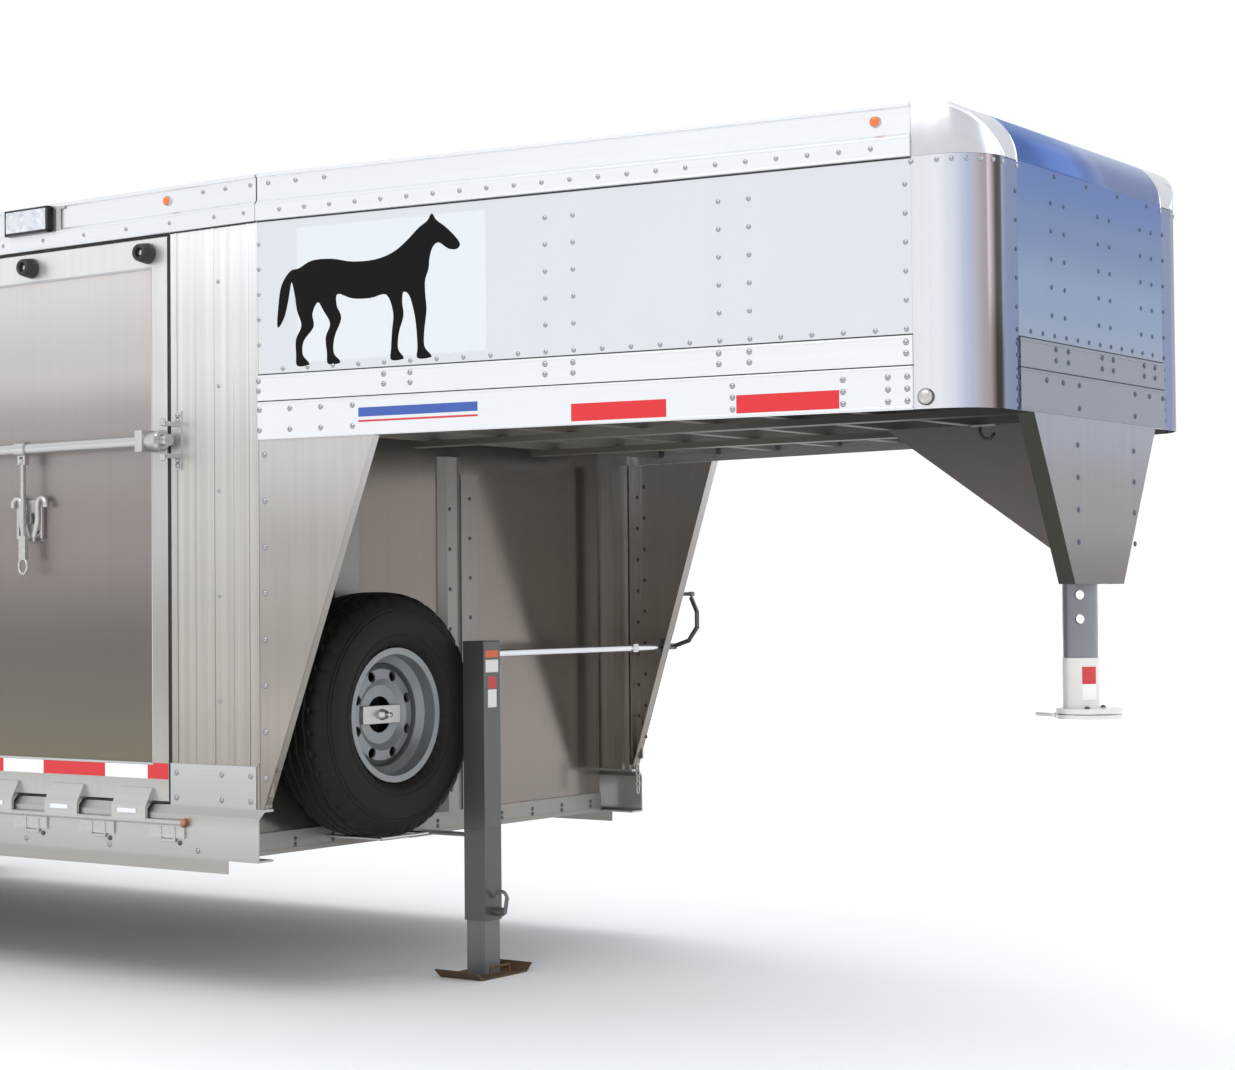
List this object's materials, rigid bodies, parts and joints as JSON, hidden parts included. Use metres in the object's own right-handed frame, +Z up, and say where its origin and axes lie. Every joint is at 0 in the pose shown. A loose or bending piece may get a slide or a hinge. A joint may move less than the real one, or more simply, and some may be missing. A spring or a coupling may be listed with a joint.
{
  "type": "livestock trailer",
  "caption": "Gooseneck livestock trailer with tapered nose, tandem axles, folding side ramp, full-swing rear gate with slider, centre gate, drop-leg jack and nose-mounted spare wheel.",
  "frame": {"origin": "on the ground, midway along the overall length, on the centre line", "axes": "+X forward to the coupler, +Y to the trailer's left side, +Z up"},
  "size_m": [9.809, 2.59, 2.599],
  "materials": {
    "tread_plate": "tread plate",
    "mill_aluminium": "mill",
    "rail_aluminium": "satin extrusion",
    "plank_aluminium": "brushed extrusion",
    "sheet_aluminium": "satin",
    "polished_sheet": "bright smooth",
    "polished_corner": "polished",
    "cast_aluminium": "cast, brushed",
    "brushed_panel": "brushed",
    "grey_paint": "gloss",
    "pale_paint": "gloss",
    "wheel_paint": "satin",
    "jack_paint": "satin",
    "black_paint": "satin",
    "zinc_steel": "zinc plated",
    "cast_zinc": "galvanised",
    "rusty_steel": "worn",
    "tyre": "matt",
    "black_rubber": "matt",
    "lamp_lens": "clear lens",
    "lamp_lens_clear": "clear lens"
  },
  "bodies": {
    "trailer": {"floor_sheets": "tread_plate", "floor_beams": "mill_aluminium", "bottom_rails": "rail_aluminium", "side_planks": "plank_aluminium", "vent_slats": "plank_aluminium", "hoop_frames": "mill_aluminium", "door_frame": "rail_aluminium", "top_rails": "rail_aluminium", "roof_sheet": "sheet_aluminium", "bulkhead_sheet": "mill_aluminium", "bulkhead_frame": "mill_aluminium", "nose_sides": "polished_sheet", "nose_front": "polished_sheet", "nose_corners": "polished_corner", "corner_caps": "cast_aluminium", "front_cove": "polished_corner", "nose_strips": "rail_aluminium", "nose_frame": "mill_aluminium", "neck_plate": "sheet_aluminium", "neck_gussets": "mill_aluminium", "coupler_socket": "grey_paint", "wings": "sheet_aluminium", "spare_rim": "wheel_paint", "spare_tyre": "tyre", "spare_carrier": "zinc_steel", "jack_tube": "jack_paint", "jack_mounts": "jack_paint", "axles": "black_paint", "fenders": "sheet_aluminium", "rear_frame": "rail_aluminium", "rear_rubbers": "black_rubber", "lamps": "lamp_lens", "load_light": "lamp_lens_clear", "hinge_base": "mill_aluminium"},
    "ramp": {"ramp_panel": "brushed_panel", "ramp_frame": "rail_aluminium", "ramp_hinge": "mill_aluminium", "ramp_bumpers": "black_rubber"},
    "cam_bar": {"cam_bar": "cast_zinc"},
    "cam_handle": {"cam_handle": "cast_zinc"},
    "rear_gate": {"gate_frame": "rail_aluminium"},
    "gate_slider": {"gate_slider": "plank_aluminium"},
    "gate_latch": {"gate_latch": "cast_zinc"},
    "centre_gate": {"centre_gate": "mill_aluminium"},
    "wheel_fr": {"wheel_fr": "wheel_paint", "tyre_fr": "tyre"},
    "wheel_rr": {"wheel_rr": "wheel_paint", "tyre_rr": "tyre"},
    "wheel_fl": {"wheel_fl": "wheel_paint", "tyre_fl": "tyre"},
    "wheel_rl": {"wheel_rl": "wheel_paint", "tyre_rl": "tyre"},
    "coupler": {"coupler_tube": "grey_paint", "coupler_head": "pale_paint"},
    "coupler_latch": {"coupler_latch": "pale_paint"},
    "jack_leg": {"jack_leg": "jack_paint", "jack_foot": "rusty_steel"},
    "drop_pin": {"drop_pin": "jack_paint"},
    "crank": {"jack_shaft": "jack_paint"},
    "crank_grip": {"crank_grip": "jack_paint"}
  },
  "joints": [
    {"name": "ramp_swing", "type": "hinge", "parent": "trailer", "child": "ramp", "pos_m": [1.4545, -1.05, 0.565], "axis": [1, 0, 0], "range_deg": [0, 106]},
    {"name": "cam_bar_turn", "type": "hinge", "parent": "ramp", "child": "cam_bar", "pos_m": [1.4545, -1.062, 1.78], "axis": [1, 0, 0], "range_deg": [-90, 0]},
    {"name": "cam_handle_swing", "type": "hinge", "parent": "cam_bar", "child": "cam_handle", "pos_m": [1.4545, -1.062, 1.739], "axis": [1, 0, 0], "range_deg": [-100, 0]},
    {"name": "rear_gate_swing", "type": "hinge", "parent": "trailer", "child": "rear_gate", "pos_m": [-4.8505, 1.03, 1.5], "axis": [0, 0, 1], "range_deg": [-240, 0]},
    {"name": "slider_slide", "type": "slide", "parent": "rear_gate", "child": "gate_slider", "axis": [0, 1, 0], "range_m": [0, 0.87]},
    {"name": "gate_latch_turn", "type": "hinge", "parent": "rear_gate", "child": "gate_latch", "pos_m": [-4.8705, -0.982, 1.36], "axis": [1, 0, 0], "range_deg": [0, 90]},
    {"name": "centre_gate_swing", "type": "hinge", "parent": "trailer", "child": "centre_gate", "pos_m": [-0.9595, 0.918, 1.4], "axis": [0, 0, 1], "range_deg": [-88, 88]},
    {"name": "wheel_fr_spin", "type": "hinge", "parent": "trailer", "child": "wheel_fr", "pos_m": [-1.7145, -1.1695, 0.403], "axis": [0, 1, 0], "continuous": true},
    {"name": "wheel_rr_spin", "type": "hinge", "parent": "trailer", "child": "wheel_rr", "pos_m": [-2.6045, -1.1695, 0.403], "axis": [0, 1, 0], "continuous": true},
    {"name": "wheel_fl_spin", "type": "hinge", "parent": "trailer", "child": "wheel_fl", "pos_m": [-1.7145, 1.1695, 0.403], "axis": [0, 1, 0], "continuous": true},
    {"name": "wheel_rl_spin", "type": "hinge", "parent": "trailer", "child": "wheel_rl", "pos_m": [-2.6045, 1.1695, 0.403], "axis": [0, 1, 0], "continuous": true},
    {"name": "coupler_height", "type": "slide", "parent": "trailer", "child": "coupler", "axis": [0, 0, 1], "range_m": [-0.15, 0.06]},
    {"name": "coupler_latch_turn", "type": "hinge", "parent": "coupler", "child": "coupler_latch", "pos_m": [4.7205, 0, 0.911], "axis": [0, 0, 1], "range_deg": [0, 22]},
    {"name": "jack_leg_slide", "type": "slide", "parent": "trailer", "child": "jack_leg", "axis": [0, 0, 1], "range_m": [-0.2, 0.12]},
    {"name": "crank_turn", "type": "hinge", "parent": "trailer", "child": "crank", "pos_m": [2.6385, 0, 1.08], "axis": [0, 1, 0], "range_deg": [-5660, 3400]},
    {"name": "crank_grip_fold", "type": "hinge", "parent": "crank", "child": "crank_grip", "pos_m": [2.7225, 1.062, 1.27], "axis": [0, 0, 1], "range_deg": [-90, 0]},
    {"name": "drop_pin_pull", "type": "slide", "parent": "trailer", "child": "drop_pin", "axis": [1, 0, 0], "range_m": [0, 0.03], "stiffness_N_per_m": 400}
  ],
  "couplings": [
    {"joint": "jack_leg_slide", "follows": "crank_turn", "m_per_rad": 0.0020213}
  ]
}
